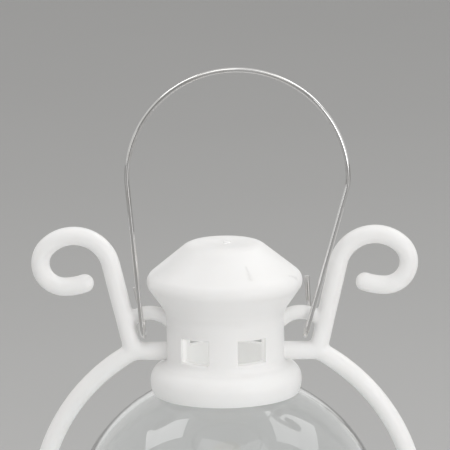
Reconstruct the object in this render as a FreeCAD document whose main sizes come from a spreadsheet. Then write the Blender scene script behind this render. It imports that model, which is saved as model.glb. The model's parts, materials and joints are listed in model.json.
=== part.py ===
import FreeCAD
import Part
import Sketcher
import math
import operator
import os

# A small white lantern: a clear round globe between a round base and a vented cap,
# two side arms that end in scrolls, and a wire bail hooked into eyes on the arms.
# Millimetres and degrees. +Z is up, the floor is Z = 0, the arms lie along X and the front is -Y.

DIMENSIONS = {
    # clearances
    "fit_gap": 0.1,
    "seat_gap": 0.05,
    "run_gap": 0.3,
    # globe
    "globe_radius": 39.0,
    "globe_wall": 1.2,
    "globe_neck_length": 4.0,
    "globe_clearance": 0.15,
    "mouth_step": 0.5,
    # base
    "tank_height": 24.5,
    "tank_inset": 2.1,
    "tank_wall": 2.0,
    "shoulder_round": 4.0,
    "foot_height": 4.0,
    "foot_overhang": 2.5,
    "foot_round": 1.2,
    # chimney and the bead that grips the globe
    "neck_radius": 14.3,
    "neck_wall": 2.0,
    "neck_height": 16.7,
    "bead_radius": 4.1,
    "lip_overhang": 2.9,
    "window_width": 7.4,
    "window_height": 6.0,
    "window_rise": 9.1,
    "window_turn": 30.0,
    "spigot_height": 3.6,
    "spigot_wall": 1.0,
    # roof cap
    "brim_radius": 19.9,
    "brim_rise": 8.0,
    "brim_round": 2.9,
    "crown_radius": 8.8,
    "crown_rise": 9.0,
    "crown_round": 4.2,
    "brim_inset": 3.2,
    "roof_wall": 2.0,
    "gate_radius": 0.9,
    "gate_height": 0.35,
    # side arms
    "rod_radius": 2.25,
    "bar_length": 8.2,
    "bar_rise": 6.8,
    "arm_gap": 5.15,
    "bow_ease": 6.5,
    "foot_bend": 10.0,
    "foot_straight": 1.5,
    "stem_lean": 13.2,
    "scroll_rise": 28.7,
    "scroll_radius": 9.15,
    "curl_radius": 5.8,
    "curl_start": 45.0,
    "tail_radius": 15.0,
    "tail_turn": 19.0,
    "eye_radius": 1.75,
    "eye_rise": 9.5,
    "eye_drop": 1.3,
    "peg_radius": 1.5,
    "peg_length": 4.0,
    "socket_wall": 1.6,
    # wire bail
    "wire_radius": 0.6,
    "bail_radius": 26.65,
    "bail_lean": 3.6,
    "bail_rise": 42.9,
    "bail_shoulder": 10.0,
    "hook_clearance": 0.8,
    "left_hook_clearance": 0.6,
    "right_hook_clearance": 1.1,
    "hook_play": 0.7,
    "hook_tail_left": 8.0,
    "hook_tail_right": 9.6,
    "tail_skew_left": 8.0,
    "tail_skew_right": 19.0,
    "hook_tail_bend": 5.0,
    # burner, flame and light
    "burner_radius": 9.5,
    "burner_rim": 1.6,
    "burner_top_radius": 5.4,
    "burner_height": 9.0,
    "burner_spigot_radius": 6.0,
    "flame_stem_radius": 4.0,
    "flame_stem_length": 2.6,
    "flame_radius": 5.2,
    "flame_belly": 5.0,
    "flame_round": 2.4,
    "flame_height": 19.0,
    "flame_point": 0.7,
    "led_radius": 2.5,
    "led_flange": 0.4,
    "led_flange_height": 1.0,
    "led_length": 8.6,
    "led_sink": 2.0,
    "led_leg_radius": 0.25,
    "led_leg_pitch": 2.54,
    # underside
    "cover_recess": 1.0,
    "cover_thickness": 2.4,
    "boss_radius": 3.2,
    "boss_inset": 7.5,
    "screw_radius": 1.0,
    "screw_length": 9.0,
    "screw_head_radius": 1.9,
    "screw_head_height": 1.3,
    "driver_slot_length": 2.3,
    "driver_slot_width": 0.5,
    "driver_slot_depth": 0.6,
    # coin cell, its cap and its well
    "cell_radius": 10.0,
    "cell_height": 3.2,
    "cell_step": 1.0,
    "cell_step_height": 0.4,
    "cell_gap": 0.4,
    "cap_rim": 0.9,
    "cap_lug_reach": 1.6,
    "cap_lug_height": 1.2,
    "cap_lug_width": 5.0,
    "cap_turn": 60.0,
    "coin_slot_length": 13.0,
    "coin_slot_width": 2.0,
    "coin_slot_depth": 1.2,
    "well_wall": 1.5,
    "contact_room": 1.3,
    "contact_thickness": 0.25,
    "contact_width": 4.0,
    # circuit board and switch
    "board_thickness": 1.2,
    "board_width": 28.0,
    "board_back": 11.5,
    "board_front": 23.5,
    "board_round": 2.0,
    "board_screw_x": 11.5,
    "board_screw_y": -17.0,
    "board_boss_radius": 2.6,
    "board_screw_length": 5.0,
    "resistor_length": 3.2,
    "resistor_width": 1.6,
    "resistor_height": 0.6,
    "switch_y": -19.5,
    "switch_length": 8.6,
    "switch_width": 4.4,
    "switch_height": 4.0,
    "switch_travel": 2.6,
    "lever_length": 2.0,
    "lever_width": 1.8,
    "lever_root": 1.0,
    "lever_floor_gap": 0.6,
}

doc = FreeCAD.newDocument("Lantern")
sizes_sheet = doc.addObject("Spreadsheet::Sheet", "Sizes")
places_sheet = doc.addObject("Spreadsheet::Sheet", "Places")

OPERATORS = {"+": operator.add, "-": operator.sub, "*": operator.mul, "/": operator.truediv}
DERIVED = {}


class Size:
    """A number together with the expression that ties it to the sheets."""

    def __init__(self, value, text):
        self.value = value
        self.text = text

    def __add__(self, other):
        return combine(self, "+", other)

    def __radd__(self, other):
        return combine(other, "+", self)

    def __sub__(self, other):
        return combine(self, "-", other)

    def __rsub__(self, other):
        return combine(other, "-", self)

    def __mul__(self, other):
        return combine(self, "*", other)

    def __rmul__(self, other):
        return combine(other, "*", self)

    def __truediv__(self, other):
        return combine(self, "/", other)

    def __neg__(self):
        return combine(0, "-", self)


class Corner:
    """A corner of an outline, with the radius that rounds it."""

    def __init__(self, across, up, rounding=None):
        self.across = as_size(across)
        self.up = as_size(up)
        self.rounding = rounding
        self.spot = FreeCAD.Vector(self.across.value, self.up.value, 0)


class Arc:
    """A round stretch of an outline, from the corner before it to the corner after it."""

    def __init__(self, radius, clockwise):
        self.radius = as_size(radius)
        self.clockwise = clockwise


def as_size(value):
    if isinstance(value, Size):
        return value
    return Size(float(value), f"({value})")


def combine(first, sign, second):
    first = as_size(first)
    second = as_size(second)
    return Size(OPERATORS[sign](first.value, second.value), f"({first.text} {sign} {second.text})")


def root(square):
    return Size(math.sqrt(square.value), f"sqrt({square.text})")


def sine(angle):
    return Size(math.sin(math.radians(angle.value)), f"sin({angle.text})")


def cosine(angle):
    return Size(math.cos(math.radians(angle.value)), f"cos({angle.text})")


def tangent(angle):
    return Size(math.tan(math.radians(angle.value)), f"tan({angle.text})")


def angle_of_sine(ratio):
    return Size(math.degrees(math.asin(ratio.value)), f"(asin({ratio.text}) / 1 deg)")


def side_of(slanted, other):
    """The third side of a right triangle, from its slanted side and one other side."""
    return root(slanted * slanted - other * other)


def fill_sizes_sheet():
    for row, (name, number) in enumerate(DIMENSIONS.items(), start=1):
        sizes_sheet.set(f"A{row}", name)
        sizes_sheet.set(f"B{row}", str(number))
        sizes_sheet.setAlias(f"B{row}", name)
    doc.recompute()


def size(name):
    return Size(sizes_sheet.get(name), f"Sizes.{name}")


def derive(name, worked_out):
    """Keeps a worked-out size as a formula in the second sheet."""
    row = len(DERIVED) + 1
    places_sheet.set(f"A{row}", name)
    places_sheet.set(f"B{row}", "=" + worked_out.text)
    places_sheet.setAlias(f"B{row}", name)
    DERIVED[name] = worked_out.value
    return Size(worked_out.value, f"Places.{name}")


def bind(thing, target, worked_out):
    thing.setExpression(target, as_size(worked_out).text)


# Sketches and features

def new_body(label, up=None):
    body = doc.addObject("PartDesign::Body", label)
    body.Label = label
    if up is not None:
        bind(body, "Placement.Base.z", up)
    return body


def new_sketch(body, name, role, offset=None, turn=None):
    plane = next(item for item in body.Origin.OriginFeatures if item.Role == role)
    sketch = body.newObject("Sketcher::SketchObject", name)
    sketch.AttachmentSupport = [(plane, "")]
    sketch.MapMode = "FlatFace"
    if turn is not None:
        axis = FreeCAD.Vector(0, 0, 1) if role == "XY_Plane" else FreeCAD.Vector(0, 1, 0)
        start = FreeCAD.Rotation(axis, turn.value)
        sketch.AttachmentOffset = FreeCAD.Placement(FreeCAD.Vector(), start)
        bind(sketch, "AttachmentOffset.Rotation.Angle", turn)
    if offset is not None:
        bind(sketch, "AttachmentOffset.Base.z", offset)
    return sketch


def new_spine(name, up):
    sketch = doc.addObject("Sketcher::SketchObject", name)
    upright = FreeCAD.Rotation(FreeCAD.Vector(1, 0, 0), 90)
    sketch.Placement = FreeCAD.Placement(FreeCAD.Vector(), upright)
    bind(sketch, "Placement.Base.z", up)
    return sketch


def hold(sketch, kind, *details, value=None):
    """Adds a constraint, and binds it where it has a size."""
    if value is None:
        sketch.addConstraint(Sketcher.Constraint(kind, *details))
        return
    index = sketch.addConstraint(Sketcher.Constraint(kind, *details, value.value))
    bind(sketch, f"Constraints[{index}]", value)


def pin(sketch, geometry, end, across, up):
    """Fixes a point of a sketch by its distances from the sketch's origin."""
    for kind, axis, distance in (("DistanceX", -2, across), ("DistanceY", -1, up)):
        if distance.value == 0:
            hold(sketch, "PointOnObject", geometry, end, axis)
        else:
            hold(sketch, kind, -1, 1, geometry, end, value=distance)


def arc_between(start, end, radius, clockwise):
    """An arc of under a half circle, with its start and end as the sketch counts them."""
    chord = end - start
    height = math.sqrt(radius ** 2 - (chord.Length / 2) ** 2)
    left = FreeCAD.Vector(-chord.y, chord.x, 0).normalize()
    centre = (start + end) * 0.5 + left * (-height if clockwise else height)
    first, last = (end, start) if clockwise else (start, end)
    circle = Part.Circle(centre, FreeCAD.Vector(0, 0, 1), radius)
    angles = [math.atan2(spot.y - centre.y, spot.x - centre.x) for spot in (first, last)]
    ends = (2, 1) if clockwise else (1, 2)
    return Part.ArcOfCircle(circle, *angles), ends


def round_corner(sketch, corner, before, after, incoming, outgoing):
    """Rounds a corner whose two straight edges already stop short of it."""
    start, end = before[1], after[0]
    turn = (corner.spot - start).cross(end - corner.spot)
    geometry, ends = arc_between(start, end, corner.rounding.value, turn.z < 0)
    arc = sketch.addGeometry(geometry)
    point = sketch.addGeometry(Part.Point(corner.spot), True)
    hold(sketch, "Tangent", incoming[0], incoming[2], arc, ends[0])
    hold(sketch, "Tangent", arc, ends[1], outgoing[0], outgoing[1])
    hold(sketch, "Radius", arc, value=corner.rounding)
    hold(sketch, "PointOnObject", point, 1, incoming[0])
    hold(sketch, "PointOnObject", point, 1, outgoing[0])
    pin(sketch, point, 1, corner.across, corner.up)


def trimmed_edges(corners, closed):
    """Each edge's own start and end, short of the corners that are rounded."""
    count = len(corners)
    leaves = [corner.spot for corner in corners]
    arrives = list(leaves)
    for place, corner in enumerate(corners):
        if corner.rounding is None:
            continue
        back = (corners[place - 1].spot - corner.spot).normalize()
        on = (corners[(place + 1) % count].spot - corner.spot).normalize()
        reach = corner.rounding.value / math.tan(back.getAngle(on) / 2)
        arrives[place] = corner.spot + back * reach
        leaves[place] = corner.spot + on * reach
    edges = count if closed else count - 1
    return [(leaves[place], arrives[(place + 1) % count]) for place in range(edges)]


def draw(sketch, path, closed=True):
    """Draws an outline of corners, with arcs where the path names one, and fixes all of it."""
    corners = []
    arcs = []
    for step in path:
        if isinstance(step, Arc):
            arcs[-1] = step
        else:
            corners.append(step)
            arcs.append(None)
    spans = trimmed_edges(corners, closed)
    edges = []
    for (start, end), arc in zip(spans, arcs):
        if arc is None:
            geometry, ends = Part.LineSegment(start, end), (1, 2)
        else:
            geometry, ends = arc_between(start, end, arc.radius.value, arc.clockwise)
        index = sketch.addGeometry(geometry)
        edges.append((index, *ends))
    for place, corner in enumerate(corners):
        outgoing = edges[place] if place < len(edges) else None
        incoming = edges[place - 1] if closed or place > 0 else None
        if corner.rounding is not None:
            round_corner(sketch, corner, spans[place - 1], spans[place], incoming, outgoing)
            continue
        if incoming and outgoing:
            hold(sketch, "Coincident", incoming[0], incoming[2], outgoing[0], outgoing[1])
        if outgoing:
            pin(sketch, outgoing[0], outgoing[1], corner.across, corner.up)
        else:
            pin(sketch, incoming[0], incoming[2], corner.across, corner.up)
    for (index, _, _), arc in zip(edges, arcs):
        if arc is not None:
            hold(sketch, "Radius", index, value=arc.radius)


def draw_circle(sketch, across, up, radius):
    centre = FreeCAD.Vector(across.value, up.value, 0)
    index = sketch.addGeometry(Part.Circle(centre, FreeCAD.Vector(0, 0, 1), radius.value))
    pin(sketch, index, 3, across, up)
    hold(sketch, "Radius", index, value=radius)


def draw_box(sketch, across, up, width, depth, rounding=None):
    """A rectangle about a centre, with its corners rounded where a radius is given."""
    signs = ((-1, -1), (1, -1), (1, 1), (-1, 1))
    draw(sketch, [Corner(across + width * (x / 2), up + depth * (y / 2), rounding) for x, y in signs])


def revolve(body, path):
    """Turns a half section, drawn across and up, all the way round Z."""
    sketch = new_sketch(body, body.Label + "_section", "XZ_Plane")
    draw(sketch, path)
    turned = body.newObject("PartDesign::Revolution", body.Label + "_turned")
    turned.Profile = sketch
    turned.ReferenceAxis = (sketch, ["V_Axis"])
    turned.Angle = 360
    doc.recompute()
    return turned


def pad(body, sketch, length, centred=False):
    feature = body.newObject("PartDesign::Pad", sketch.Label + "_pad")
    feature.Profile = sketch
    bind(feature, "Length", length)
    if centred:
        feature.SideType = "Symmetric"
    doc.recompute()
    return feature


def pocket(body, sketch, length, centred=False):
    """Cuts back from the sketch, or to both sides of it, and makes sure that something came out."""
    before = body.Shape.Volume
    feature = body.newObject("PartDesign::Pocket", sketch.Label + "_cut")
    feature.Profile = sketch
    bind(feature, "Length", length)
    if centred:
        feature.SideType = "Symmetric"
    doc.recompute()
    if body.Shape.Volume > before - 0.01:
        raise RuntimeError(f"{feature.Label} cut nothing")
    return feature


def add_post(body, name, spots, radius, low, high):
    """Round posts that stand from one height to another."""
    sketch = new_sketch(body, name, "XY_Plane", offset=low)
    for across, up in spots:
        draw_circle(sketch, across, up, radius)
    return pad(body, sketch, high - low)


def cut_hole(body, name, spots, radius, low, high):
    """Round holes between two heights."""
    sketch = new_sketch(body, name, "XY_Plane", offset=high)
    for across, up in spots:
        draw_circle(sketch, across, up, radius)
    return pocket(body, sketch, high - low)


def cut_slot(body, name, across, up, width, depth, low, high):
    """A rectangular cut between two heights."""
    sketch = new_sketch(body, name, "XY_Plane", offset=high)
    draw_box(sketch, across, up, width, depth)
    return pocket(body, sketch, high - low)


# Sizes that several pieces share

fill_sizes_sheet()
ZERO = as_size(0)

fit_gap = size("fit_gap")
seat_gap = size("seat_gap")
run_gap = size("run_gap")
globe_radius = size("globe_radius")
neck_radius = size("neck_radius")
bead_radius = size("bead_radius")
tank_height = size("tank_height")
tank_wall = size("tank_wall")
rod_radius = size("rod_radius")
wire_radius = size("wire_radius")
screw_radius = size("screw_radius")

mouth_radius = derive("mouth_radius", neck_radius + size("mouth_step"))
mouth_bore = derive("mouth_bore", mouth_radius + size("globe_clearance"))
mouth_height = derive("mouth_height", side_of(globe_radius, mouth_radius))
globe_end = derive("globe_end", mouth_height + size("globe_neck_length"))
globe_z = derive("globe_z", tank_height + seat_gap + globe_end)

# the bead's lip follows the globe, at the same distance above and below the globe's middle
seat_radius = derive("seat_radius", globe_radius + size("globe_clearance"))
lip_radius = derive("lip_radius", neck_radius + size("lip_overhang"))
lip_offset = derive("lip_offset", side_of(seat_radius, lip_radius))
seat_offset = derive("seat_offset", side_of(seat_radius, mouth_bore))
lip_to_bead = derive("lip_to_bead", side_of(bead_radius, size("lip_overhang")))
bead_offset = derive("bead_offset", lip_offset + lip_to_bead)
bead_z = derive("bead_z", globe_z + bead_offset)
roof_z = derive("roof_z", bead_z + size("neck_height"))
bar_z = derive("bar_z", bead_z + size("bar_rise"))
neck_bore = derive("neck_bore", neck_radius - size("neck_wall"))
spigot_radius = derive("spigot_radius", neck_bore + size("spigot_wall"))

# the side arm, counted from the height of its bar
knee_x = derive("knee_x", neck_radius + size("bar_length"))
ring_radius = derive("ring_radius", globe_radius + size("arm_gap") + rod_radius)
ring_drop = derive("ring_drop", side_of(ring_radius, knee_x))
deck_drop = derive("deck_drop", bar_z - tank_height)
bow_ease = size("bow_ease")
foot_bend = size("foot_bend")
low_bow_radius = derive("low_bow_radius", ring_radius + bow_ease)
foot_reach = derive("foot_reach", low_bow_radius + foot_bend)
foot_drop = derive("foot_drop", deck_drop - ring_drop - size("foot_straight"))
foot_angle = derive("foot_angle", angle_of_sine(foot_drop / foot_reach))
arm_foot_x = derive("arm_foot_x", foot_reach * cosine(foot_angle) - foot_bend - bow_ease)
tank_radius = derive("tank_radius", globe_radius - size("tank_inset"))
stem_lean = size("stem_lean")
stem_half = derive("stem_half", rod_radius / cosine(stem_lean))
eye_rise = size("eye_rise")
eye_outer_x = derive("eye_outer_x", knee_x + tangent(stem_lean) * eye_rise - stem_half)
eye_x = derive("eye_x", (neck_radius + eye_outer_x) / 2)
eye_reach = derive("eye_reach", (eye_outer_x - neck_radius) / 2)
eye_drop = size("eye_drop")
eye_bend = derive("eye_bend", (eye_reach * eye_reach + eye_drop * eye_drop) / (eye_drop * 2))
eye_angle = derive("eye_angle", angle_of_sine((eye_reach + eye_drop) / eye_bend))

# the underside, from the floor up
cover_top = derive("cover_top", size("cover_recess") + size("cover_thickness"))
cell_z = derive("cell_z", cover_top + seat_gap)
cell_top = derive("cell_top", cell_z + size("cell_height"))
well_ceiling = derive("well_ceiling", cell_top + size("contact_room"))
well_top = derive("well_top", well_ceiling + size("well_wall"))
board_z = derive("board_z", well_top + seat_gap)
board_top = derive("board_top", board_z + size("board_thickness"))
cap_bore = derive("cap_bore", size("cell_radius") + size("cell_gap"))
cap_radius = derive("cap_radius", cap_bore + size("cap_rim"))
cap_lug_radius = derive("cap_lug_radius", cap_radius + size("cap_lug_reach"))
cap_lug_low = derive("cap_lug_low", cover_top + run_gap)
cap_lug_high = derive("cap_lug_high", cap_lug_low + size("cap_lug_height"))
cap_lug_half = derive("cap_lug_half", size("cap_lug_width") / 2)
cap_sweep = derive("cap_sweep", root(cap_lug_radius * cap_lug_radius + cap_lug_half * cap_lug_half))
well_bore = derive("well_bore", cap_sweep + run_gap)
well_radius = derive("well_radius", well_bore + size("well_wall"))
tank_bore = derive("tank_bore", tank_radius - tank_wall)
boss_circle = derive("boss_circle", tank_bore - size("boss_inset"))
deck_under = derive("deck_under", tank_height - tank_wall)
shank_bore = derive("shank_bore", screw_radius + seat_gap)
negative_slot_x = derive("negative_slot_x", size("cell_radius") / -2)
positive_slot_x = derive("positive_slot_x", cap_bore + size("cap_rim"))
slot_room = derive("slot_room", size("contact_thickness") + fit_gap * 2)

COVER_SCREW_ANGLES = (90, 210, 330)
COVER_SCREWS = [
    (boss_circle * cosine(as_size(angle)), boss_circle * sine(as_size(angle)))
    for angle in COVER_SCREW_ANGLES
]
BOARD_SCREWS = [(size("board_screw_x") * side, size("board_screw_y")) for side in (-1, 1)]
ARM_FEET = [(arm_foot_x * side, ZERO) for side in (-1, 1)]


# Head of the lantern

def make_globe():
    body = new_body("globe", globe_z)
    wall = size("globe_wall")
    mouth_inside = mouth_radius - wall
    inner_radius = globe_radius - wall
    inner_height = side_of(inner_radius, mouth_inside)
    revolve(body, [
        Corner(mouth_radius, -globe_end),
        Corner(mouth_radius, -mouth_height),
        Arc(globe_radius, clockwise=False),
        Corner(mouth_radius, mouth_height),
        Corner(mouth_radius, globe_end),
        Corner(mouth_inside, globe_end),
        Corner(mouth_inside, inner_height),
        Arc(inner_radius, clockwise=True),
        Corner(mouth_inside, -inner_height),
        Corner(mouth_inside, -globe_end),
    ])
    return body


def make_chimney():
    body = new_body("chimney", bead_z)
    neck_height = size("neck_height")
    spigot_top = neck_height + size("spigot_height")
    ledge = globe_end + seat_gap - bead_offset
    window_turn = size("window_turn")
    revolve(body, [
        Corner(mouth_bore, seat_offset - bead_offset),
        Corner(lip_radius, -lip_to_bead),
        Arc(bead_radius, clockwise=False),
        Corner(neck_radius + bead_radius, ZERO),
        Arc(bead_radius, clockwise=False),
        Corner(neck_radius, bead_radius),
        Corner(neck_radius, neck_height),
        Corner(spigot_radius, neck_height),
        Corner(spigot_radius, spigot_top),
        Corner(neck_bore, spigot_top),
        Corner(neck_bore, ledge),
        Corner(mouth_bore, ledge),
    ])
    for name, turn in (("right_windows", window_turn), ("left_windows", -window_turn)):
        sketch = new_sketch(body, name, "XZ_Plane", turn=turn)
        draw_box(sketch, ZERO, size("window_rise"), size("window_width"), size("window_height"))
        pocket(body, sketch, neck_radius * 2 + bead_radius, centred=True)
    sketch = new_sketch(body, "peg_holes", "YZ_Plane")
    draw_circle(sketch, ZERO, size("bar_rise"), size("peg_radius") + fit_gap)
    pocket(body, sketch, neck_radius * 2 + bead_radius, centred=True)
    return body


def make_roof_cap():
    body = new_body("roof_cap", roof_z + seat_gap)
    wall = size("roof_wall")
    brim_rise = size("brim_rise")
    top = brim_rise + size("crown_rise")
    bore = spigot_radius + fit_gap
    bore_top = size("spigot_height") + fit_gap
    gate_radius = size("gate_radius")
    revolve(body, [
        Corner(bore, ZERO),
        Corner(neck_radius, ZERO),
        Corner(size("brim_radius"), brim_rise, size("brim_round")),
        Corner(size("crown_radius"), top, size("crown_round")),
        Corner(gate_radius, top),
        Corner(gate_radius / 2, top + size("gate_height")),
        Corner(ZERO, top + size("gate_height")),
        Corner(ZERO, top - wall),
        Corner(size("crown_radius") - wall / 2, top - wall),
        Corner(size("brim_radius") - size("brim_inset"), brim_rise),
        Corner(bore, bore_top),
    ])
    return body


# Side arms

def sweep_rod(name, path, radius, lean, up=bar_z):
    """A round rod along a path in the arms' plane, which sets out at a lean from straight up."""
    spine = new_spine(name + "_spine", up)
    draw(spine, path, closed=False)
    ring = doc.addObject("Part::Circle", name + "_ring")
    bind(ring, "Radius", radius)
    axis = FreeCAD.Vector(0, 1, 0)
    ring.Placement = FreeCAD.Placement(FreeCAD.Vector(), FreeCAD.Rotation(axis, lean.value))
    bind(ring, "Placement.Base.x", path[0].across)
    bind(ring, "Placement.Base.z", path[0].up + up)
    bind(ring, "Placement.Rotation.Angle", lean)
    doc.recompute()
    rod = doc.addObject("Part::Sweep", name)
    rod.Sections = [ring]
    rod.Spine = (spine, [f"Edge{count + 1}" for count in range(len(spine.Shape.Edges))])
    rod.Solid = True
    doc.recompute()
    return rod


def add_rod(name, radius, length, across, up, lean):
    """A straight round rod in the arms' plane."""
    rod = doc.addObject("Part::Cylinder", name)
    bind(rod, "Radius", radius)
    bind(rod, "Height", length)
    rod.Placement = FreeCAD.Placement(FreeCAD.Vector(), FreeCAD.Rotation(FreeCAD.Vector(0, 1, 0), lean))
    bind(rod, "Placement.Base.x", across)
    bind(rod, "Placement.Base.z", up)
    return rod


def add_cone(name, low_radius, high_radius, height, up):
    """A cone round Z, which widens upwards."""
    cone = doc.addObject("Part::Cone", name)
    bind(cone, "Radius1", low_radius)
    bind(cone, "Radius2", high_radius)
    bind(cone, "Height", height)
    bind(cone, "Placement.Base.z", up)
    return cone


def add_ball(name, radius, across, up):
    ball = doc.addObject("Part::Sphere", name)
    bind(ball, "Radius", radius)
    bind(ball, "Placement.Base.x", across)
    bind(ball, "Placement.Base.z", up)
    return ball


def make_scroll():
    """The stem that leans out from the knee and the scroll that it ends in."""
    scroll = size("scroll_radius")
    curl = size("curl_radius")
    tail = size("tail_radius")
    curl_start = size("curl_start")
    tail_turn = size("tail_turn")
    centre_z = derive("scroll_centre_z", size("scroll_rise") - scroll)
    stem_top_z = derive("stem_top_z", centre_z + scroll * sine(stem_lean))
    stem_top_x = derive("stem_top_x", knee_x + tangent(stem_lean) * stem_top_z)
    centre_x = derive("scroll_centre_x", stem_top_x + scroll * cosine(stem_lean))
    curl_x = derive("curl_x", centre_x + (scroll - curl) * sine(curl_start))
    curl_z = derive("curl_z", centre_z + (scroll - curl) * cosine(curl_start))
    tip_x = derive("tip_x", curl_x - tail * sine(tail_turn))
    tip_z = derive("tip_z", curl_z - curl + tail - tail * cosine(tail_turn))
    rod = sweep_rod("scroll", [
        Corner(knee_x, ZERO),
        Corner(stem_top_x, stem_top_z),
        Arc(scroll, clockwise=True),
        Corner(centre_x + scroll * sine(curl_start), centre_z + scroll * cosine(curl_start)),
        Arc(curl, clockwise=True),
        Corner(curl_x, curl_z - curl),
        Arc(tail, clockwise=True),
        Corner(tip_x, tip_z),
    ], rod_radius, stem_lean)
    return [rod, add_ball("scroll_tip", rod_radius, tip_x, tip_z + bar_z)]


def make_ring():
    """The long bow round the globe, turned upright where it stands on the base."""
    bow_x = low_bow_radius * cosine(foot_angle) - bow_ease
    bow_z = -ring_drop - low_bow_radius * sine(foot_angle)
    upright_z = -ring_drop - foot_drop
    start_lean = derive("ring_start_lean", 90 + angle_of_sine(knee_x / ring_radius))
    return sweep_rod("bow", [
        Corner(knee_x, ZERO),
        Arc(ring_radius, clockwise=True),
        Corner(ring_radius, -ring_drop),
        Arc(low_bow_radius, clockwise=True),
        Corner(bow_x, bow_z),
        Arc(foot_bend, clockwise=False),
        Corner(arm_foot_x, upright_z),
        Corner(arm_foot_x, seat_gap - deck_drop),
    ], rod_radius, start_lean)


def make_eye():
    """The low arch between the neck and the stem that the bail hooks under."""
    centre_z = eye_rise - eye_bend
    low_z = centre_z + eye_bend * cosine(eye_angle)
    half = eye_bend * sine(eye_angle)
    return sweep_rod("eye", [
        Corner(eye_x - half, low_z),
        Arc(eye_bend, clockwise=True),
        Corner(eye_x + half, low_z),
    ], size("eye_radius"), derive("eye_start_lean", 90 - eye_angle))


def make_arms():
    peg_radius = size("peg_radius")
    peg_length = size("peg_length")
    bar = add_rod("bar", rod_radius, knee_x - neck_bore, neck_bore, bar_z, 90)
    knee = add_ball("knee", rod_radius, knee_x, bar_z)
    frame = doc.addObject("Part::MultiFuse", "arm_frame")
    frame.Shapes = [*make_scroll(), make_ring(), make_eye(), bar, knee]
    room = doc.addObject("Part::MultiFuse", "neck_room")
    room.Shapes = [
        add_rod("neck_room_below", neck_radius + seat_gap, size("neck_height"), ZERO, bead_z, 0),
        add_cone("neck_room_above", neck_radius + seat_gap, size("brim_radius"), size("brim_rise"), roof_z),
    ]
    trimmed = doc.addObject("Part::Cut", "arm_trimmed")
    trimmed.Base = frame
    trimmed.Tool = room
    bar_peg = add_rod("bar_peg", peg_radius, size("bar_length"), neck_bore + fit_gap, bar_z, 90)
    foot_low = tank_height - peg_length
    foot_peg = add_rod("foot_peg", peg_radius, peg_length * 2, arm_foot_x, foot_low, 0)
    right = doc.addObject("Part::MultiFuse", "right_arm")
    right.Shapes = [trimmed, bar_peg, foot_peg]
    right.Refine = True
    left = doc.addObject("Part::Mirroring", "left_arm")
    left.Source = right
    left.Normal = FreeCAD.Vector(1, 0, 0)
    for arm, label in ((right, "right_arm"), (left, "left_arm")):
        arm.Label = label
    doc.recompute()
    return [left, right]


# Wire bail

def arc_edge(start, middle, end):
    return Part.Arc(start, middle, end).toShape()


def bail_side(side, clearance, tail_length, tail_skew):
    """One half of the bail's line, from the top of its round to the end of its hook."""
    offset = size("eye_radius").value + size("hook_play").value + wire_radius.value
    radius = size("bail_radius").value
    lean = size("bail_lean").value
    bend = size("bail_shoulder").value
    skew = math.radians(tail_skew.value)
    tail_bend = size("hook_tail_bend").value
    top_z = bar_z.value + size("bail_rise").value
    rise = rod_radius.value + size("hook_clearance").value + wire_radius.value
    stem_x = knee_x.value + rise * math.tan(math.radians(stem_lean.value)) - stem_half.value
    hook_x = stem_x - wire_radius.value - clearance.value
    hook_z = bar_z.value + rise

    def spot(out, depth, up):
        return FreeCAD.Vector(side * out, depth, up)

    # the leg is the line from the foot of the hook that touches the small bend at the side of the round
    middle = side * lean
    widest = middle + radius
    span_x = widest - bend - hook_x
    span_z = top_z - hook_z
    leg = math.atan2(span_x, span_z) + math.asin(bend / math.hypot(span_x, span_z))
    bend_mid, bend_end = [
        spot(widest - bend * (1 - math.cos(turn)), -offset, top_z - bend * math.sin(turn))
        for turn in (leg / 2, leg)
    ]
    crown = spot(middle, -offset, top_z + radius)
    eighth = radius * math.sqrt(0.5)
    along = FreeCAD.Vector(side * math.sin(leg), 0, math.cos(leg))
    hook_foot = spot(hook_x, 0, hook_z)
    front = hook_foot + along * offset + FreeCAD.Vector(0, -offset, 0)
    back = hook_foot + along * offset + FreeCAD.Vector(0, offset, 0)

    # both tails are bent the same way, towards -X
    outward = leg - side * skew
    turn_to = FreeCAD.Vector(-math.cos(leg), 0, side * math.sin(leg))
    tail_mid, tail_start = [
        back + (along * math.sin(turn) + turn_to * (1 - math.cos(turn))) * tail_bend
        for turn in (skew / 2, skew)
    ]
    tail = FreeCAD.Vector(side * math.sin(outward), 0, math.cos(outward))
    return [
        arc_edge(crown, spot(middle + eighth, -offset, top_z + eighth), spot(widest, -offset, top_z)),
        arc_edge(spot(widest, -offset, top_z), bend_mid, bend_end),
        Part.LineSegment(bend_end, front).toShape(),
        arc_edge(front, hook_foot, back),
        arc_edge(back, tail_mid, tail_start),
        Part.LineSegment(tail_start, tail_start + tail * tail_length.value).toShape(),
    ]


def make_bail():
    left = bail_side(-1, size("left_hook_clearance"), size("hook_tail_left"), size("tail_skew_left"))
    right = bail_side(1, size("right_hook_clearance"), size("hook_tail_right"), size("tail_skew_right"))
    spine = doc.addObject("Part::Feature", "bail_spine")
    spine.Shape = Part.Wire(left[::-1] + right)
    start = spine.Shape.OrderedVertexes[0].Point
    first = spine.Shape.OrderedEdges[0]
    heading = first.tangentAt(first.FirstParameter)
    ring = doc.addObject("Part::Circle", "bail_ring")
    bind(ring, "Radius", wire_radius)
    ring.Placement = FreeCAD.Placement(start, FreeCAD.Rotation(FreeCAD.Vector(0, 0, 1), heading))
    doc.recompute()
    bail = doc.addObject("Part::Sweep", "bail")
    bail.Label = "bail"
    bail.Sections = [ring]
    bail.Spine = (spine, [f"Edge{count + 1}" for count in range(len(spine.Shape.Edges))])
    bail.Solid = True
    doc.recompute()
    return bail


# Base

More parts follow.
